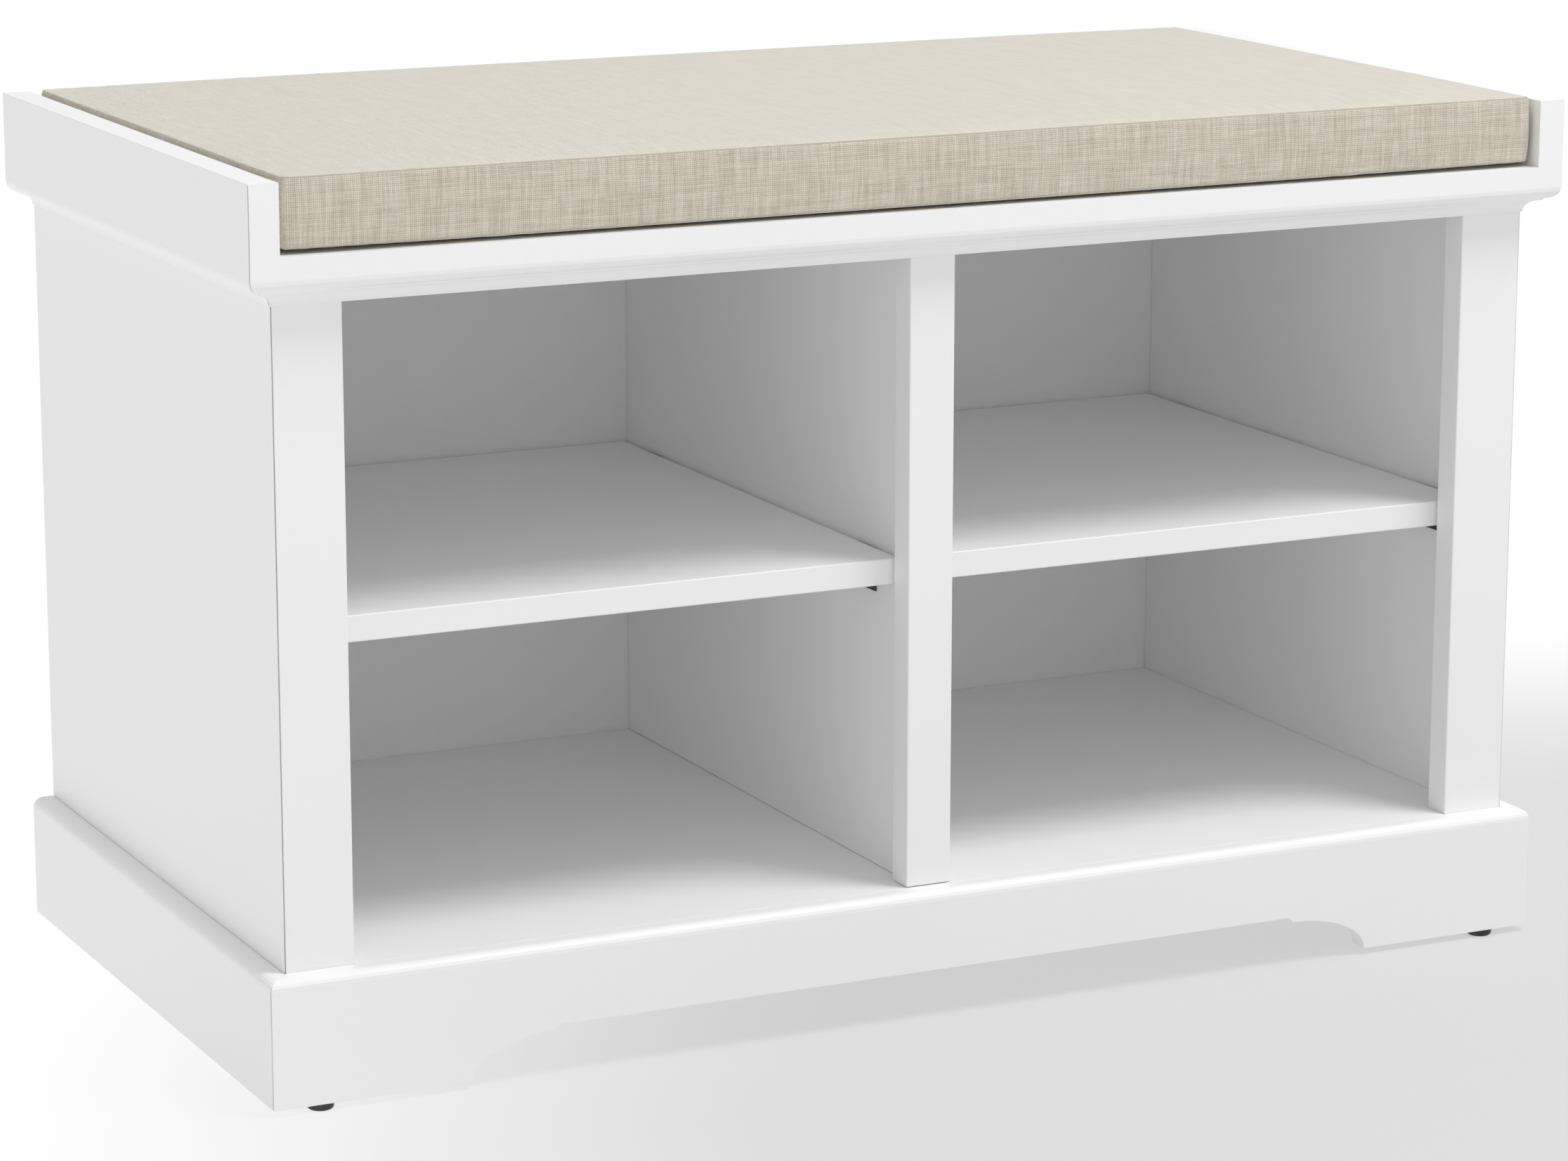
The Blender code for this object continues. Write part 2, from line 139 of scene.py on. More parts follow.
class Finish:
    """A material while it is being mixed."""

    def __init__(self, name):
        self.material = bpy.data.materials.new(name)
        self.material.use_nodes = True
        self.tree = self.material.node_tree
        self.tree.nodes.clear()

    def node(self, kind, settings=None, inputs=None, output=0):
        """Adds any node: its settings first, then a value or a wire for each input."""
        made = self.tree.nodes.new("ShaderNode" + kind)
        for name, value in (settings or {}).items():
            setattr(made, name, value)
        for name, value in (inputs or {}).items():
            if isinstance(value, Wire):
                self.tree.links.new(value.socket, made.inputs[name])
            else:
                made.inputs[name].default_value = value
        return Wire(self, made.outputs[output]) if made.outputs else None

    def place(self):
        """Where a point of the surface is, in metres on its own object."""
        return self.node("TexCoord", output="Object")

    def stretch(self, place, scale):
        """The same places with each direction scaled by its own amount."""
        return self.node("Mapping", inputs={"Vector": place, "Scale": scale})

    def cloud(self, place, scale, detail=2.0):
        """A soft random pattern from 0 to 1; a larger scale is finer."""
        inputs = {"Vector": place, "Scale": scale, "Detail": detail}
        return self.node("TexNoise", inputs=inputs)

    def between(self, mask, low, high):
        """A value that goes from low to high as the mask goes from 0 to 1."""
        inputs = {"Value": mask, "To Min": low, "To Max": high}
        return self.node("MapRange", inputs=inputs)

    def step(self, value, start, end):
        """A smooth step from 0 to 1 while the value goes from start to end."""
        inputs = {"Value": value, "From Min": start, "From Max": end}
        return self.node("MapRange", {"interpolation_type": "SMOOTHSTEP"}, inputs)

    def blend(self, mask, first, second):
        """One colour where the mask is 0, fading to the other where it is 1."""
        inputs = {0: mask, 6: first, 7: second}
        return self.node("Mix", {"data_type": "RGBA"}, inputs, output=2)

    def raise_by(self, height, distance, normal=None):
        """A normal that makes the height look raised by the distance, in metres."""
        inputs = {"Height": height, "Distance": distance}
        if normal:
            inputs["Normal"] = normal
        return self.node("Bump", inputs=inputs)

    def surface(self, **sockets):
        """Ends the material; an underscore in a name stands for a space."""
        inputs = {name.replace("_", " "): value for name, value in sockets.items()}
        shader = self.node("BsdfPrincipled", inputs=inputs)
        self.node("OutputMaterial", inputs={"Surface": shader})
        return self.material


print("materials are written as sums from here on")

# %% [markdown]
# ## The studio
# A pale floor that runs out into white light, with no corner or horizon to see. The floor
# is one disc: near the bench it is pale card that takes a shadow, but almost half of its
# colour there is a glow, painted light that makes the bench's shadow on it paler; further
# away the glow grows until it is as white as the surroundings. The light is one wide lamp
# high up in front and to the right, and an even white glow from all round, so the inside
# of the bench is shaded and the outside is not.

# %% Floor
FLOOR_RADIUS = 30.0
FLOOR_SIDES = 96
WHITE_GLOW = 1.02
card = bmesh.new()
bmesh.ops.create_circle(card, cap_ends=True, radius=FLOOR_RADIUS, segments=FLOOR_SIDES)
floor_mesh = bpy.data.meshes.new("studio_floor")
card.to_mesh(floor_mesh)
card.free()
floor = bpy.data.objects.new("studio_floor", floor_mesh)
bpy.context.collection.objects.link(floor)

floor_finish = Finish("studio_card")
place = floor_finish.place()
CARD_CENTRE = (0.45, -0.55, 0.0)
CARD_GLOW = 0.48
from_centre = floor_finish.node(
    "VectorMath", {"operation": "DISTANCE"}, {0: place, 1: CARD_CENTRE}, output="Value"
)
# painted light: near the bench CARD_GLOW of the floor is glow, which pales the bench's shadow; far
# off it is all glow
glow_share = floor_finish.step(from_centre, 0.60, 1.15) * (1 - CARD_GLOW) + CARD_GLOW
plain = floor_finish.node("BsdfDiffuse", inputs={"Color": (0.45, 0.45, 0.45, 1)})
glow = floor_finish.node("Emission", inputs={"Color": (1, 1, 1, 1), "Strength": WHITE_GLOW})
mixed = floor_finish.node("MixShader", inputs={0: glow_share, 1: plain, 2: glow})
floor_finish.node("OutputMaterial", inputs={"Surface": mixed})
floor_mesh.materials.append(floor_finish.material)
print("floor radius", FLOOR_RADIUS)

# %% Light
KEY_DIRECTION = Vector((0.62, -0.62, 1.5)).normalized()
KEY_DISTANCE = 3.6
KEY_SIZE = 1.5
KEY_POWER = 68.0
GLOW_STRENGTH = 0.66
LIGHT_BOUNCES = 8

world = bpy.data.worlds.new("studio")
world.use_nodes = True
background = world.node_tree.nodes["Background"]
background.inputs["Color"].default_value = (1, 1, 1, 1)
background.inputs["Strength"].default_value = GLOW_STRENGTH
bpy.context.scene.world = world

lamp = bpy.data.lights.new("key_lamp", "AREA")
lamp.shape = "DISK"
lamp.size = KEY_SIZE
lamp.energy = KEY_POWER
key = bpy.data.objects.new("key_lamp", lamp)
key.matrix_world = Matrix.Translation(KEY_DIRECTION * KEY_DISTANCE + Vector((0, 0, 0.25))) @ (
    KEY_DIRECTION.to_track_quat("Z", "Y").to_matrix().to_4x4()
)
bpy.context.collection.objects.link(key)

bpy.context.scene.view_settings.view_transform = "Standard"
bpy.context.scene.cycles.diffuse_bounces = LIGHT_BOUNCES
print("key lamp", KEY_POWER, "W at", KEY_DISTANCE, "m")

# %% [markdown]
# ## Painted boards
# The boards are MDF sprayed with satin white. Up close such paint has a fine dimpled skin,
# a slow drift of gloss from spray passes, and thinner paint along the arrises, where a grey
# primer begins to show in patches; that grey along the arrises is also painted shade, the
# faint darker line that a rounded edge shows. A plain white would look like plastic, so all
# three are mixed in.

# %% White paint
THIN_COAT = (0.885, 0.886, 0.889, 1)
FULL_COAT = (0.910, 0.910, 0.910, 1)
# grey of the primer at worn arrises, also used as painted shade along the rounded edges
PRIMER_AND_EDGE_SHADE = (0.700, 0.690, 0.670, 1)
ARRIS_REACH = 0.0012


def arris(paint):
    """1 on an arris and 0 on a flat face: where rounding the corners would turn the surface."""
    rounded = paint.node("Bevel", {"samples": 4}, {"Radius": ARRIS_REACH})
    flat = paint.node("NewGeometry", output="Normal")
    inputs = {0: rounded, 1: flat}
    agree = paint.node("VectorMath", {"operation": "DOT_PRODUCT"}, inputs, output="Value")
    return paint.step(1 - agree, 0.02, 0.22)


def white_paint():
    paint = Finish("satin_white_paint")
    place = paint.place()
    drift = paint.cloud(place, 7.0)
    skin = paint.cloud(place, 420.0, 3.0)
    dimples = paint.cloud(place, 95.0, 1.0)
    # patches along the arrises: thin paint showing primer, and painted shade of the rounded edges
    thin_paint_and_edge_shade = arris(paint) * paint.step(paint.cloud(place, 38.0), 0.35, 0.70)
    coat = paint.blend(drift, THIN_COAT, FULL_COAT)
    colour = paint.blend(thin_paint_and_edge_shade * 0.45, coat, PRIMER_AND_EDGE_SHADE)
    gloss = paint.between(drift, 0.36, 0.46) + skin * 0.06 + thin_paint_and_edge_shade * 0.10
    normal = paint.raise_by(dimples, 0.00010)
    normal = paint.raise_by(skin, 0.00002, normal)
    return paint.surface(Base_Color=colour, Roughness=gloss, Normal=normal)


WHITE_PAINT = white_paint()
print("made", WHITE_PAINT.name)

# %% [markdown]
# ## The other finishes
# The back is thin hardboard with a white printed face, flatter than the paint and faintly
# pressed with the mark of its own fibres. The shelf supports are black-coated steel, the
# glides moulded plastic, and the screws and nails zinc-plated.

# %% Back board, steel, plastic and zinc
def back_board():
    board = Finish("white_faced_hardboard")
    place = board.place()
    mottle = board.cloud(place, 55.0, 4.0)
    fibres = board.cloud(board.stretch(place, (700, 700, 160)), 1.0, 3.0)
    colour = board.blend(mottle, (0.850, 0.852, 0.850, 1), (0.885, 0.885, 0.882, 1))
    normal = board.raise_by(fibres, 0.00006)
    rough = board.between(mottle, 0.46, 0.60)
    return board.surface(Base_Color=colour, Roughness=rough, Normal=normal)


def coated_steel():
    steel = Finish("black_coated_steel")
    place = steel.place()
    grain = steel.cloud(place, 1400.0, 2.0)
    bare = arris(steel) * steel.step(steel.cloud(place, 240.0), 0.50, 0.62)
    colour = steel.blend(bare, (0.028, 0.028, 0.030, 1), (0.330, 0.325, 0.315, 1))
    normal = steel.raise_by(grain, 0.00004)
    rough = steel.between(grain, 0.38, 0.54)
    return steel.surface(Base_Color=colour, Roughness=rough, Metallic=bare, Normal=normal)


def moulded_plastic():
    plastic = Finish("black_moulded_plastic")
    place = plastic.place()
    pits = plastic.cloud(place, 1100.0, 2.0)
    scuff = plastic.step(plastic.cloud(place, 190.0), 0.52, 0.70)
    colour = plastic.blend(scuff, (0.016, 0.016, 0.017, 1), (0.050, 0.050, 0.052, 1))
    normal = plastic.raise_by(pits, 0.00005)
    rough = plastic.between(scuff, 0.42, 0.62)
    return plastic.surface(Base_Color=colour, Roughness=rough, Normal=normal)


def zinc_plate():
    zinc = Finish("zinc_plate")
    place = zinc.place()
    bloom = zinc.cloud(place, 320.0, 3.0)
    scratches = zinc.cloud(zinc.stretch(place, (2600, 500, 2600)), 1.0, 2.0)
    colour = zinc.blend(bloom, (0.560, 0.555, 0.540, 1), (0.720, 0.705, 0.660, 1))
    normal = zinc.raise_by(scratches, 0.00003)
    rough = zinc.between(bloom, 0.26, 0.44)
    return zinc.surface(Base_Color=colour, Roughness=rough, Metallic=1.0, Normal=normal)


FINISHES = {
    "white_paint": WHITE_PAINT,
    "back_board": back_board(),
    "support_steel": coated_steel(),
    "glide_plastic": moulded_plastic(),
    "screw_steel": zinc_plate(),
}
print("finishes:", ", ".join(made.name for made in FINISHES.values()))

# %% [markdown]
# ## Softening the CAD boards
# A CAD board ends in knife-sharp edges, which no saw or spray gun leaves. Its mesh has to
# stay as it is, so the softening is done by modifiers: the loose triangles are joined, flat
# faces are merged, and each edge gets a small rounded arris that catches the light and
# leaves a fine dark groove wherever two boards meet.

# %% Finish the CAD pieces
ARRIS = 0.0008
FINE_ARRIS = 0.0002
softened = 0
for name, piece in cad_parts.items():
    slot = piece.material_slots[0].material.name
    if slot not in FINISHES:
        continue
    piece.material_slots[0].material = FINISHES[slot]
    joined = piece.modifiers.new("join_triangles", "WELD")
    joined.merge_threshold = 1e-5
    merged = piece.modifiers.new("merge_flats", "DECIMATE")
    merged.decimate_type = "DISSOLVE"
    merged.angle_limit = math.radians(1)
    rounded = piece.modifiers.new("round_arrises", "BEVEL")
    rounded.width = ARRIS if slot == "white_paint" else FINE_ARRIS
    rounded.segments = 2
    rounded.limit_method = "ANGLE"
    rounded.angle_limit = math.radians(30)
    rounded.harden_normals = True
    softened += 1
print("softened", softened, "pieces")

# %% [markdown]
# ## The cushion
# A seat pad is a boxed cover over foam: a top panel, a bottom panel, and a strip of cloth
# between them, the boxing, sewn all round. It could be a block with rounded edges, but a
# real cover swells between its seams and is held in where it is sewn. So the cover is cut
# as panels in their true places, a little small, then filled with air by the cloth
# simulation, and the swelling is limited so that the pad keeps its height and fits its well.

# %% Cut the cover
PAD_LOW, PAD_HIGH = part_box("cushion")
PAD_CENTRE = (PAD_LOW + PAD_HIGH) / 2
END_SWELL = 0.0030
FRONT_SWELL = 0.0010
CLOTH_GAP = 0.0004
END_REACH = 0.0021
HALF_LENGTH = (PAD_HIGH.x - PAD_LOW.x) / 2 + END_REACH - END_SWELL - CLOTH_GAP
HALF_WIDTH = (PAD_HIGH.y - PAD_LOW.y) / 2 - FRONT_SWELL - CLOTH_GAP
LOWER_SEAM = PAD_LOW.z + 0.0022
UPPER_SEAM = PAD_HIGH.z - 0.0048
SEAM_EDGE_RISE = 0.0018
CROWN_RISE = PAD_HIGH.z - UPPER_SEAM - SEAM_EDGE_RISE - CLOTH_GAP
CORNER_RADIUS = 0.0040
CLOTH_STEP = 0.0075
SEAM_STEPS = (0.0, 0.0015, 0.0055)


def cut_lines(half, step):
    """Places of the cloth's lines from one seam to the other, closer together by the seams."""
    inner = half - SEAM_STEPS[-1]
    count = max(2, round(2 * inner / step))
    middle = np.linspace(-inner, inner, count + 1)
    near = [-half + gap for gap in SEAM_STEPS[:-1]]
    return np.array([*near, *middle, *(-value for value in reversed(near))])


def round_corner(x, y):
    """Moves a point of the square-cornered panel so that the panel's corners are round."""
    inner_x, inner_y = HALF_LENGTH - CORNER_RADIUS, HALF_WIDTH - CORNER_RADIUS
    u, v = (abs(x) - inner_x) / CORNER_RADIUS, (abs(y) - inner_y) / CORNER_RADIUS
    if u <= 0 or v <= 0:
        return x, y
    bent_u, bent_v = u * math.sqrt(1 - v * v / 2), v * math.sqrt(1 - u * u / 2)
    return (
        math.copysign(inner_x + bent_u * CORNER_RADIUS, x),
        math.copysign(inner_y + bent_v * CORNER_RADIUS, y),
    )


def panel_height(x, y, seam, rim, crown):
    """Height of a panel at x, y: it leaves its seam steeply, then crowns gently."""
    inset = min(HALF_LENGTH - abs(x), HALF_WIDTH - abs(y))
    leave = 1 - math.exp(-inset / 0.006)
    dome = (1 - (x / HALF_LENGTH) ** 2) * (1 - (y / HALF_WIDTH) ** 2)
    return seam + rim * leave + crown * max(dome, 0.0) ** 0.75


ACROSS = cut_lines(HALF_LENGTH, CLOTH_STEP)
ALONG = cut_lines(HALF_WIDTH, CLOTH_STEP)
print("cover panels", len(ACROSS), "x", len(ALONG), "points")

# %% Sew the cover together
def panel_points(seam, rim, crown):
    points = []
    for x in ACROSS:
        for y in ALONG:
            place_x, place_y = round_corner(x, y)
            height = panel_height(x, y, seam, rim, crown)
            points.append((PAD_CENTRE.x + place_x, PAD_CENTRE.y + place_y, height))
    return points


def rim_walk():
    """The panel's outline as (column, row) pairs, once round, seen from above."""
    last_x, last_y = len(ACROSS) - 1, len(ALONG) - 1
    walk = [(i, 0) for i in range(last_x)]
    walk += [(last_x, j) for j in range(last_y)]
    walk += [(i, last_y) for i in range(last_x, 0, -1)]
    walk += [(0, j) for j in range(last_y, 0, -1)]
    return walk


def sewn_cover():
    """The cover as points, faces, each face corner's place on its cloth, the seam points, and
    where the bottom panel's points begin.
    """
    rows = len(ALONG)
    top = panel_points(UPPER_SEAM, SEAM_EDGE_RISE, CROWN_RISE)
    bottom = panel_points(LOWER_SEAM, PAD_LOW.z + CLOTH_GAP - LOWER_SEAM, 0.0)
    points = top + bottom
    under = len(top)
    faces, cloth = [], []
    for i in range(len(ACROSS) - 1):
        for j in range(rows - 1):
            corners = [(i, j), (i + 1, j), (i + 1, j + 1), (i, j + 1)]
            spread = [(ACROSS[a], ALONG[b]) for a, b in corners]
            faces.append([a * rows + b for a, b in corners])
            cloth.append(spread)
            faces.append([under + a * rows + b for a, b in reversed(corners)])
            cloth.append(list(reversed(spread)))
    walk = rim_walk()
    heights = UPPER_SEAM - LOWER_SEAM
    inner = cut_lines(heights / 2, CLOTH_STEP * 0.8)[1:-1]
    columns = []
    for a, b in walk:
        low, high = points[under + a * rows + b], points[a * rows + b]
        column = [under + a * rows + b]
        for level in inner:
            share = level / heights + 0.5
            swell = math.sin(math.pi * share)
            column.append(len(points))
            points.append(swollen(low, high, share, swell * 0.5))
        column.append(a * rows + b)
        columns.append(column)
    levels = [-heights / 2, *inner, heights / 2]
    run = 0.0
    for number, column in enumerate(columns):
        following = columns[(number + 1) % len(columns)]
        step = math.dist(points[column[0]], points[following[0]])
        for k in range(len(levels) - 1):
            faces.append([column[k], following[k], following[k + 1], column[k + 1]])
            cloth.append([
                (run, levels[k]), (run + step, levels[k]),
                (run + step, levels[k + 1]), (run, levels[k + 1]),
            ])
        run += step
    seams = [column[0] for column in columns] + [column[-1] for column in columns]
    return points, faces, cloth, seams, under


def swollen(low, high, share, amount):
    """A point of the boxing between its two seams, pushed outwards by a share of the swell."""
    x, y = low[0] - PAD_CENTRE.x, low[1] - PAD_CENTRE.y
    inner_x, inner_y = HALF_LENGTH - CORNER_RADIUS, HALF_WIDTH - CORNER_RADIUS
    outward = Vector((
        math.copysign(max(abs(x) - inner_x, 0), x) * END_SWELL,
        math.copysign(max(abs(y) - inner_y, 0), y) * FRONT_SWELL,
    )) / CORNER_RADIUS
    height = low[2] + (high[2] - low[2]) * share
    return low[0] + outward.x * amount, low[1] + outward.y * amount, height


points, faces, cloth, seam_points, under = sewn_cover()
cover_mesh = bpy.data.meshes.new("seat_cushion")
cover_mesh.from_pydata(points, [], faces)
cloth_run = cover_mesh.uv_layers.new(name="cloth_run")
cloth_run.data.foreach_set("uv", np.array(cloth, np.float32).ravel())
cushion = bpy.data.objects.new("seat_cushion", cover_mesh)
bpy.context.collection.objects.link(cushion)
print("cover", len(points), "points", len(faces), "faces")

# %% [markdown]
# The filling is simulated: the cover is cloth, and its inside pushes outwards with a steady
# pressure. Seams are shorter than the cloth beside them, as sewn seams are, so they draw in
# and the cloth puckers slightly. Afterwards a point that moved too far is held back, which
# keeps the crown at its true height.

# %% Stuff the cushion
STUFFING_PRESSURE = 4.0
SEAM_SHRINK = 0.03
FOAM_HOLD, SEAM_HOLD = 0.16, 0.75
SIMULATION_FRAMES = 20
MOST_SWELL = 0.0060


def stuff(piece, seam_points):
    """How far each point of the cover moves when the cover is filled."""
    everywhere = range(len(piece.data.vertices))
    foam = piece.vertex_groups.new(name="foam")
    foam.add(everywhere, FOAM_HOLD, "REPLACE")
    foam.add(seam_points, SEAM_HOLD, "REPLACE")
    seams = piece.vertex_groups.new(name="seams")
    seams.add(seam_points, 1.0, "REPLACE")
    filling = piece.modifiers.new("filling", "CLOTH")
    cloth = filling.settings
    cloth.quality = 6
    cloth.mass = 0.3
    cloth.tension_stiffness = cloth.compression_stiffness = 15
    cloth.shear_stiffness = 5
    cloth.bending_stiffness = 0.5
    cloth.use_pressure = True
    cloth.uniform_pressure_force = STUFFING_PRESSURE
    cloth.vertex_group_mass = "foam"
    cloth.vertex_group_shrink = "seams"
    cloth.shrink_min, cloth.shrink_max = 0.0, SEAM_SHRINK
    cloth.effector_weights.gravity = 0
    before = np.array([v.co for v in piece.data.vertices])
    for frame_number in range(1, SIMULATION_FRAMES + 1):
        bpy.context.scene.frame_set(frame_number)
    filled = piece.evaluated_get(bpy.context.evaluated_depsgraph_get())
    moved = np.array([v.co for v in filled.data.vertices]) - before
    piece.modifiers.remove(filling)
    piece.vertex_groups.clear()
    bpy.context.scene.frame_set(1)
    return moved


moved = stuff(cushion, seam_points)
length = np.linalg.norm(moved, axis=1, keepdims=True) + 1e-9
moved *= MOST_SWELL * np.tanh(length / MOST_SWELL) / length
print(f"the cloth moved up to {length.max() * 1000:.1f} mm, held to {MOST_SWELL * 1000:.1f} mm")

# %% Settle the cushion in its well
SEAM_SINK = 0.0007
SETTLING = 0.0005


def settle(shaped):
    """Fits the filled pad into its own space: flat below, crown at its true height."""
    low = np.array(PAD_LOW) + CLOTH_GAP
    high = np.array(PAD_HIGH) - CLOTH_GAP
    low[0] -= END_REACH
    high[0] += END_REACH
    centre = (low + high) / 2
    for axis in (0, 1):
        reach = np.abs(shaped[:, axis] - centre[axis]).max()
        shaped[:, axis] = centre[axis] + (shaped[:, axis] - centre[axis]) * (
            (high[axis] - low[axis]) / 2 / reach
        )
    top = shaped[:, 2].max()
    above = np.clip((shaped[:, 2] - UPPER_SEAM) / (top - UPPER_SEAM), 0, 1)
    shaped[:, 2] += above * (high[2] - top)
    shaped[:, 2] = np.maximum(shaped[:, 2], low[2])
    return shaped


def unevenness(point):
    """A slow unevenness of the filling under the cloth, from -1 to 1."""
    return noise.noise(Vector(point) * 9) * 0.7 + noise.noise(Vector(point) * 23) * 0.3


shaped = settle(np.array(points) + moved)
on_top = np.arange(len(shaped)) < under
lumps = np.array([unevenness(point) - 0.7 for point in shaped]) * SETTLING
shaped[:, 2] += np.where(on_top & (shaped[:, 2] > UPPER_SEAM + 0.003), lumps, 0)
cover_mesh.vertices.foreach_set("co", shaped.astype(np.float32).ravel())
cover_mesh.update()
for index in seam_points:
    cover_mesh.vertices[index].co -= cover_mesh.vertices[index].normal * SEAM_SINK
sewn = cover_mesh.attributes.new("sewn", "FLOAT", "POINT")
sewn_share = np.zeros(len(shaped), np.float32)
sewn_share[seam_points] = 1
sewn.data.foreach_set("value", sewn_share)
boxing = cover_mesh.attributes.new("boxing", "FLOAT", "FACE")
panel_faces = (len(ACROSS) - 1) * (len(ALONG) - 1) * 2
boxing.data.foreach_set("value", (np.arange(len(faces)) >= panel_faces).astype(np.float32))
cover_mesh.shade_smooth()
finer = cushion.modifiers.new("finer_cloth", "SUBSURF")
finer.levels = finer.render_levels = 1
print("cushion", [round(side * 1000) for side in np.ptp(shaped, axis=0)], "mm")

# %% [markdown]
# ## Linen
# The cover is a heathered linen look: a plain weave of uneven threads, some pale, some
# taupe, with thicker slubs here and there. Photographs of cloth would repeat and need
# unwrapping; here each thread is a wave across the cloth's own flat pattern, which the
# cutting step stored as `cloth_run` in metres, so that the threads turn at each seam as
# real panels do. The top panel is painted paler and with a fainter weave than the boxing,
# which is painted light for the light that falls on the top. The seams are coloured in the
# darkest thread colour, which is painted shade in the seam grooves.

# %% Linen
THREAD_PITCH = 0.0011
PALE_THREAD = (0.800, 0.745, 0.640, 1)
# painted light: how much paler the top panel is painted than the boxing, for the light falling on
# the top
TOP_PAINTED_LIGHT = 0.42
TAUPE_THREAD = (0.480, 0.420, 0.328, 1)


def slubs(linen, cloth_place, across, along):
    """Uneven streaks of yarn: fine across the threads, long along them."""
    short = linen.cloud(linen.stretch(cloth_place, across), 1.0, 3.0)
    long = linen.cloud(linen.stretch(cloth_place, along), 1.0, 2.0)
    return linen.step(short, 0.36, 0.64) * 0.6 + linen.step(long, 0.38, 0.62) * 0.4


def linen_cloth():
    linen = Finish("heathered_linen")
    cloth_place = linen.node("UVMap", {"uv_map": "cloth_run"})
    parts = linen.node("SeparateXYZ", inputs={"Vector": cloth_place})
    warp_place = parts
    weft_place = Wire(linen, parts.socket.node.outputs["Y"])
    wander = linen.cloud(cloth_place, 180.0, 1.0) * 1.6
    turns = math.pi / THREAD_PITCH
    warp = linen.node("Math", {"operation": "SINE"}, {0: warp_place * turns + wander})
    weft = linen.node("Math", {"operation": "SINE"}, {0: weft_place * turns + wander})
    over = warp * weft * 0.5 + 0.5
    threads = warp * warp * over + weft * weft * (1 - over)
    warp_slubs = slubs(linen, cloth_place, (820, 45, 1), (260, 14, 1))
    weft_slubs = slubs(linen, cloth_place, (45, 820, 1), (14, 260, 1))
    side = linen.node("Attribute", {"attribute_name": "boxing"}, output="Fac")
    # painted light: the weave's contrast is fainter on the top panel, as if washed out by the
    # light on it
    heather = (warp_slubs * 0.58 + weft_slubs * 0.42 - 0.5) * (side * 0.47 + 0.40) + 0.5
    sewn = linen.node("Attribute", {"attribute_name": "sewn"}, output="Fac")
    # painted shade: the seam lines take the darkest thread colour, for the shade in their grooves
    seam = linen.step(sewn, 0.35, 0.95)
    # painted light: the top panel is made paler than the boxing
    taupe = heather * 0.85 + (1 - threads) * 0.22 + 0.05 - (1 - side) * TOP_PAINTED_LIGHT
    taupe = taupe * (1 - seam) + seam
    colour = linen.blend(taupe, PALE_THREAD, TAUPE_THREAD)
    normal = linen.raise_by(threads + warp_slubs * 0.5 + weft_slubs * 0.5, 0.00030)
    rough = linen.between(heather, 0.82, 0.94)
    return linen.surface(
        Base_Color=colour, Roughness=rough, Normal=normal,
        Sheen_Weight=0.60, Sheen_Roughness=0.45,
    )


LINEN = linen_cloth()
cover_mesh.materials.append(LINEN)
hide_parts("cushion")
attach(cushion, "cushion_pad")
print("made", LINEN.name)

# %% [markdown]
# ## Small things in rows
# Nails, stitches and zip teeth are one shape set again and again along a line, which is what
# Geometry Nodes are for: the tree below spaces points along any path, turns a small rounded
# bead to follow it, and varies each a little with a fixed seed. One tree serves all three;
# only its named sizes change. The result is turned into a plain mesh at the end.

# %% A tree that sets beads along a path
def bead_tree():
    tree = bpy.data.node_groups.new("beads_along_path", "GeometryNodeTree")
    sockets = [("Spacing", "NodeSocketFloat"), ("Length", "NodeSocketFloat"),
               ("Depth", "NodeSocketFloat"), ("Height", "NodeSocketFloat"),
               ("Unevenness", "NodeSocketFloat"), ("Seed", "NodeSocketInt"),
               ("Finish", "NodeSocketMaterial")]
    tree.interface.new_socket("Path", in_out="INPUT", socket_type="NodeSocketGeometry")
    for name, kind in sockets:
        tree.interface.new_socket(name, in_out="INPUT", socket_type=kind)
    tree.interface.new_socket("Beads", in_out="OUTPUT", socket_type="NodeSocketGeometry")

    def node(kind, settings=None, links=None):
        made = tree.nodes.new(kind)
        for name, value in (settings or {}).items():
            setattr(made, name, value)
        for name, value in (links or {}).items():
            if isinstance(value, bpy.types.NodeSocket):
                tree.links.new(value, made.inputs[name])
            else:
                made.inputs[name].default_value = value
        return made

    given = node("NodeGroupInput").outputs
    curve = node("GeometryNodeMeshToCurve", links={"Mesh": given["Path"]})
    spaced = node("GeometryNodeResampleCurve", {"mode": "LENGTH"},
                  {"Curve": curve.outputs[0], "Length": given["Spacing"]})
    ball = node("GeometryNodeMeshUVSphere", links={"Segments": 8, "Rings": 6, "Radius": 0.5})
    smooth = node("GeometryNodeSetShadeSmooth", links={"Geometry": ball.outputs["Mesh"]})
    size = node("ShaderNodeCombineXYZ", links={
        "X": given["Length"], "Y": given["Depth"], "Z": given["Height"]})
    least = node("ShaderNodeMath", {"operation": "SUBTRACT"},
                 {0: 1.0, 1: given["Unevenness"]})
    share = node("FunctionNodeRandomValue", {"data_type": "FLOAT"})
    tree.links.new(least.outputs[0], share.inputs[2])
    share.inputs[3].default_value = 1.0
    tree.links.new(given["Seed"], share.inputs["Seed"])
    varied = node("ShaderNodeVectorMath", {"operation": "SCALE"},
                  {0: size.outputs[0], "Scale": share.outputs[1]})
    tangent = node("GeometryNodeInputTangent")
    aligned = node("FunctionNodeAlignRotationToVector", {"axis": "X"},
                   {"Vector": tangent.outputs[0]})
    beads = node("GeometryNodeInstanceOnPoints", links={
        "Points": spaced.outputs[0], "Instance": smooth.outputs[0],
        "Rotation": aligned.outputs[0], "Scale": varied.outputs[0]})
    real = node("GeometryNodeRealizeInstances", links={"Geometry": beads.outputs[0]})
    finished = node("GeometryNodeSetMaterial", links={
        "Geometry": real.outputs[0], "Material": given["Finish"]})
    node("NodeGroupOutput", links={"Beads": finished.outputs[0]})
    return tree


BEADS = bead_tree()
print("the bead tree has", len(BEADS.nodes), "nodes")

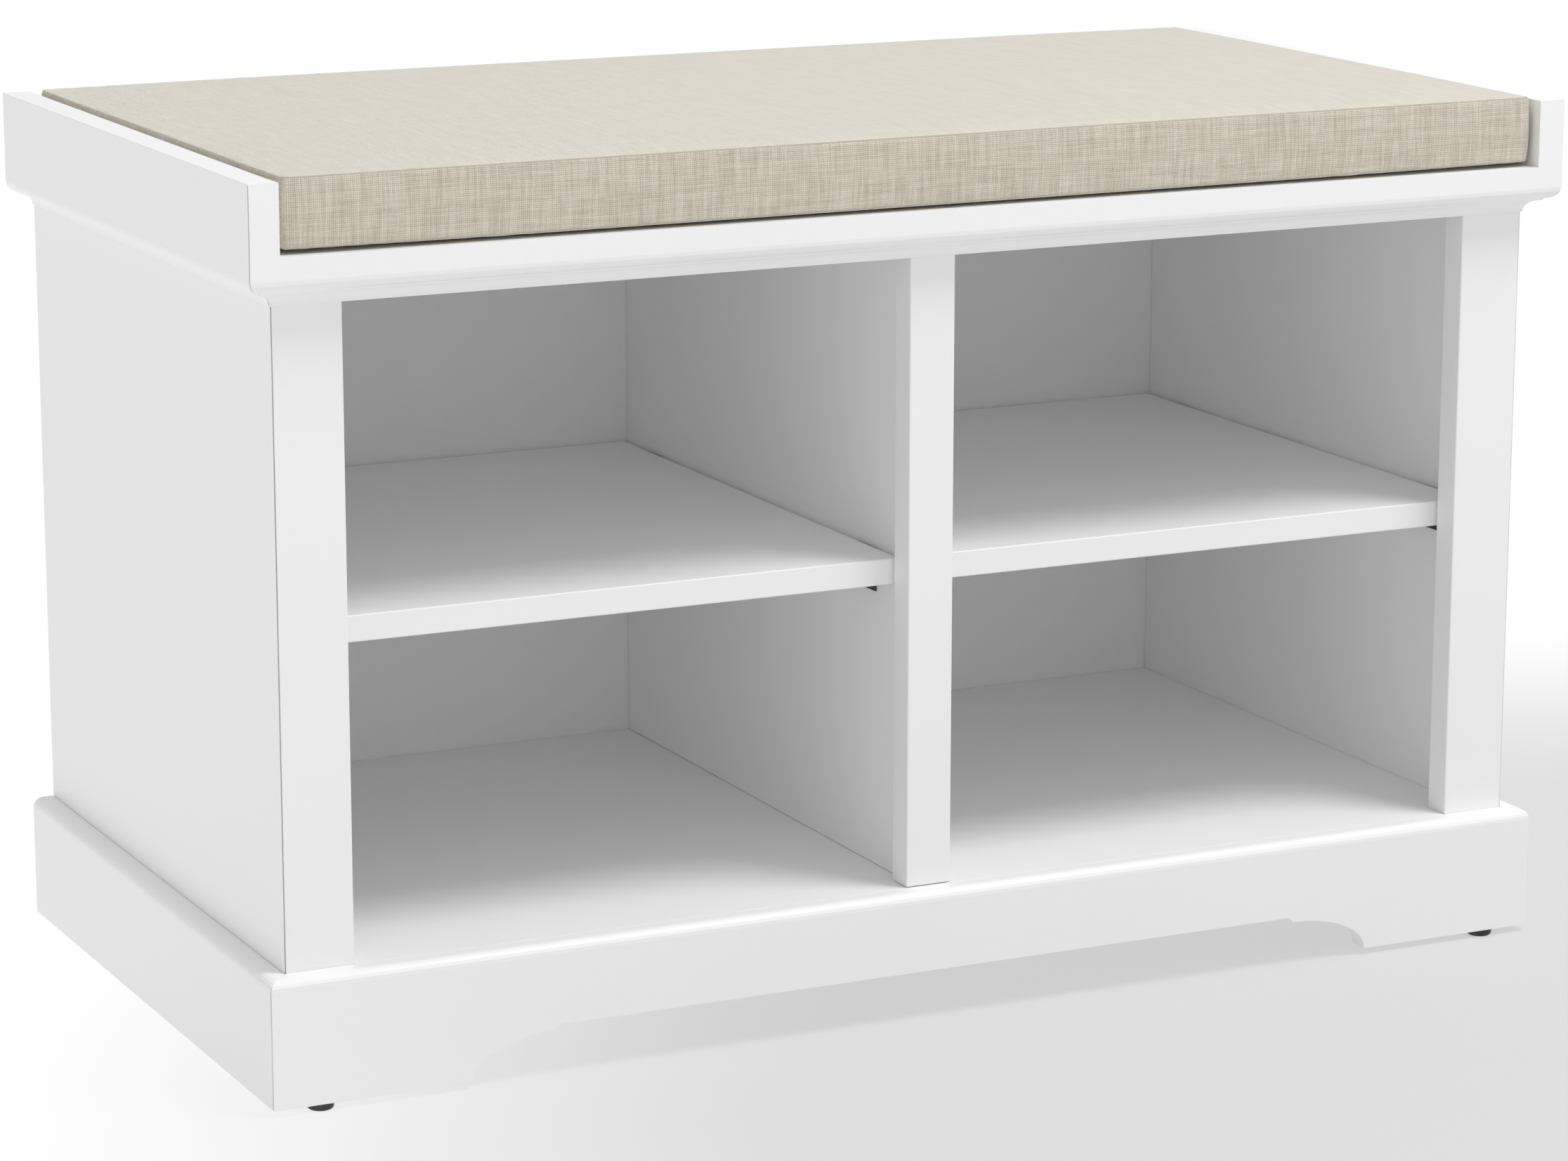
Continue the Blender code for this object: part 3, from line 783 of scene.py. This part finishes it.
# %% Using the tree
def set_beads(name, paths, sizes, finish, seed):
    """A plain mesh of beads along the paths; sizes are spacing, length, depth, height, share."""
    path_mesh = bpy.data.meshes.new(name + "_path")
    points = [point for path in paths for point in path]
    edges, start = [], 0
    for path in paths:
        edges += [(start + i, start + i + 1) for i in range(len(path) - 1)]
        start += len(path)
    path_mesh.from_pydata(points, edges, [])
    guide = bpy.data.objects.new(name + "_path", path_mesh)
    bpy.context.collection.objects.link(guide)
    tree = guide.modifiers.new("beads", "NODES")
    tree.node_group = BEADS
    values = dict(zip(("Spacing", "Length", "Depth", "Height", "Unevenness"), sizes))
    values.update({"Seed": seed, "Finish": finish})
    for socket in BEADS.interface.items_tree:
        if socket.in_out == "INPUT" and socket.name in values:
            tree[socket.identifier] = values[socket.name]
    ready = guide.evaluated_get(bpy.context.evaluated_depsgraph_get())
    mesh = bpy.data.meshes.new_from_object(ready)
    mesh.name = name
    guide.modifiers.remove(tree)
    bpy.data.objects.remove(guide)
    beads = bpy.data.objects.new(name, mesh)
    bpy.context.collection.objects.link(beads)
    print(name, len(mesh.polygons), "faces")
    return beads


# %% [markdown]
# ## Nails in the back
# The hardboard back lies in a rabbet and is nailed all round, and down the middle into the
# divider. Only the shallow round heads show.

# %% Nail the back on
NAIL_SPACING = 0.085
NAIL_HEAD = (0.0042, 0.0014, 0.0042)
back_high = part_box("back_panel")[1]
deck_low, deck_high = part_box("seat_deck")
floor_low, floor_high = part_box("bottom_panel")
nail_x = back_high.x - 0.0040
nail_top = (deck_low.z + deck_high.z) / 2
nail_bottom = (floor_low.z + floor_high.z) / 2
back_face = back_high.y
frame_lines = [
    [
        (side * NAIL_SPACING / 2, back_face, nail_top), (side * nail_x, back_face, nail_top),
        (side * nail_x, back_face, nail_bottom), (side * NAIL_SPACING / 2, back_face, nail_bottom),
    ]
    for side in (-1, 1)
]
middle_line = [
    (0, back_face, nail_top - NAIL_SPACING), (0, back_face, nail_bottom + NAIL_SPACING / 2),
]
nails = set_beads(
    "back_nails", [*frame_lines, middle_line], (NAIL_SPACING, *NAIL_HEAD, 0.05),
    FINISHES["screw_steel"], 3,
)
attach(nails, "carcass")

# %% [markdown]
# ## The zip
# The cover comes off for washing, so its back strip has a zip: a tape between two folded
# edges, each held by a row of stitches, with small teeth along the middle and a slider at
# one end. The tape and the stitches have to lie on the swollen cloth, so their places are
# found by looking at the cushion from behind.

# %% Zip tape, teeth and stitches
ZIP_HALF_LENGTH = 0.290
ZIP_TAPE_HALF = 0.0048
ZIP_STITCH_OFFSET = 0.0068
ZIP_HEIGHT = (LOWER_SEAM + UPPER_SEAM) / 2
ZIP_STEPS = 80
TAPE_LIFT = 0.0003
TAPE_THICKNESS = 0.0005
TEETH_LIFT = 0.0009
TEETH = (0.0017, 0.0011, 0.0014, 0.0048, 0.03)
STITCH_LIFT = 0.0002
STITCH = (0.0030, 0.0024, 0.0007, 0.0007, 0.10)
cushion_tree = BVHTree.FromObject(cushion, bpy.context.evaluated_depsgraph_get())


def on_cushion_back(x, z, proud):
    """The point of the cushion's back at x, z, moved outwards by proud."""
    seen = cushion_tree.ray_cast(Vector((x, PAD_HIGH.y + 0.05, z)), Vector((0, -1, 0)))
    return Vector((x, seen[0].y + proud, z))


def zip_line(z, proud):
    places = np.linspace(-ZIP_HALF_LENGTH, ZIP_HALF_LENGTH, ZIP_STEPS + 1)
    return [on_cushion_back(x, z, proud) for x in places]


def zip_tape():
    levels = [ZIP_HEIGHT + share * ZIP_TAPE_HALF for share in (-1, -0.35, 0, 0.35, 1)]
    rows = [zip_line(level, TAPE_LIFT) for level in levels]
    strip = bpy.data.meshes.new("zip_tape")
    places = [place for row in rows for place in row]
    wide = ZIP_STEPS + 1
    strip_faces = [
        (r * wide + c, (r + 1) * wide + c, (r + 1) * wide + c + 1, r * wide + c + 1)
        for r in range(len(rows) - 1) for c in range(ZIP_STEPS)
    ]
    strip.from_pydata(places, [], strip_faces)
    strip.shade_smooth()
    tape = bpy.data.objects.new("zip_tape", strip)
    bpy.context.collection.objects.link(tape)
    thick = tape.modifiers.new("tape_thickness", "SOLIDIFY")
    thick.thickness = TAPE_THICKNESS
    thick.offset = 0
    return tape


def woven_tape():
    tape = Finish("woven_zip_tape")
    place = tape.place()
    ribs = tape.node("TexWave", {"bands_direction": "Z"}, {"Vector": place, "Scale": 330.0})
    fuzz = tape.cloud(place, 900.0, 2.0)
    colour = tape.blend(fuzz, (0.520, 0.470, 0.390, 1), (0.640, 0.590, 0.500, 1))
    normal = tape.raise_by(ribs + fuzz * 0.3, 0.00008)
    rough = tape.between(fuzz, 0.78, 0.92)
    return tape.surface(Base_Color=colour, Roughness=rough, Normal=normal)


def sewing_thread():
    thread = Finish("sewing_thread")
    place = thread.place()
    inputs = {"Vector": place, "Scale": 900.0}
    twist = thread.node("TexWave", {"bands_direction": "DIAGONAL"}, inputs)
    colour = thread.blend(twist, (0.600, 0.550, 0.460, 1), (0.780, 0.740, 0.650, 1))
    rough = thread.between(twist, 0.60, 0.80)
    normal = thread.raise_by(twist, 0.00005)
    return thread.surface(Base_Color=colour, Roughness=rough, Normal=normal)


TAPE, THREAD = woven_tape(), sewing_thread()
tape = zip_tape()
tape.data.materials.append(TAPE)
teeth = set_beads("zip_teeth", [zip_line(ZIP_HEIGHT, TEETH_LIFT)], TEETH, THREAD, 5)
stitches = set_beads(
    "zip_stitches",
    [zip_line(ZIP_HEIGHT + side * ZIP_STITCH_OFFSET, STITCH_LIFT) for side in (-1, 1)],
    STITCH, THREAD, 7,
)
for piece in (tape, teeth, stitches):
    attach(piece, "cushion_pad")

# %% [markdown]
# The slider is three small plates with rounded edges: the body on the teeth, the bridge on
# top of it, and the pull that hangs from the bridge.

# %% Zip slider
SLIDER_INSET, SLIDER_LIFT = 0.004, 0.0006


def slider_plate(metal, low, high, bevel):
    """A small plate between two corners, with rounded edges."""
    made = bmesh.ops.create_cube(metal, size=1.0)["verts"]
    middle, sides = (low + high) / 2, high - low
    for vert in made:
        vert.co = middle + Vector(a * b for a, b in zip(vert.co, sides))
    edges = {edge for vert in made for edge in vert.link_edges}
    bmesh.ops.bevel(metal, geom=list(edges), offset=bevel, segments=3, affect="EDGES")


slider_place = on_cushion_back(ZIP_HALF_LENGTH - SLIDER_INSET, ZIP_HEIGHT, SLIDER_LIFT)
metal = bmesh.new()
plates = [
    ((-0.0045, 0.0006, -0.0040), (0.0045, 0.0022, 0.0040), 0.0007),
    ((-0.0012, 0.0020, -0.0010), (0.0012, 0.0038, 0.0010), 0.0005),
    ((-0.0022, 0.0030, -0.0150), (0.0022, 0.0040, 0.0012), 0.0004),
]
for low, high, bevel in plates:
    slider_plate(metal, slider_place + Vector(low), slider_place + Vector(high), bevel)
slider_mesh = bpy.data.meshes.new("zip_slider")
metal.to_mesh(slider_mesh)
metal.free()
slider_mesh.shade_smooth()
slider_mesh.materials.append(FINISHES["screw_steel"])
slider = bpy.data.objects.new("zip_slider", slider_mesh)
bpy.context.collection.objects.link(slider)
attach(slider, "cushion_pad")
print("zip slider at", [round(value, 3) for value in slider_place])
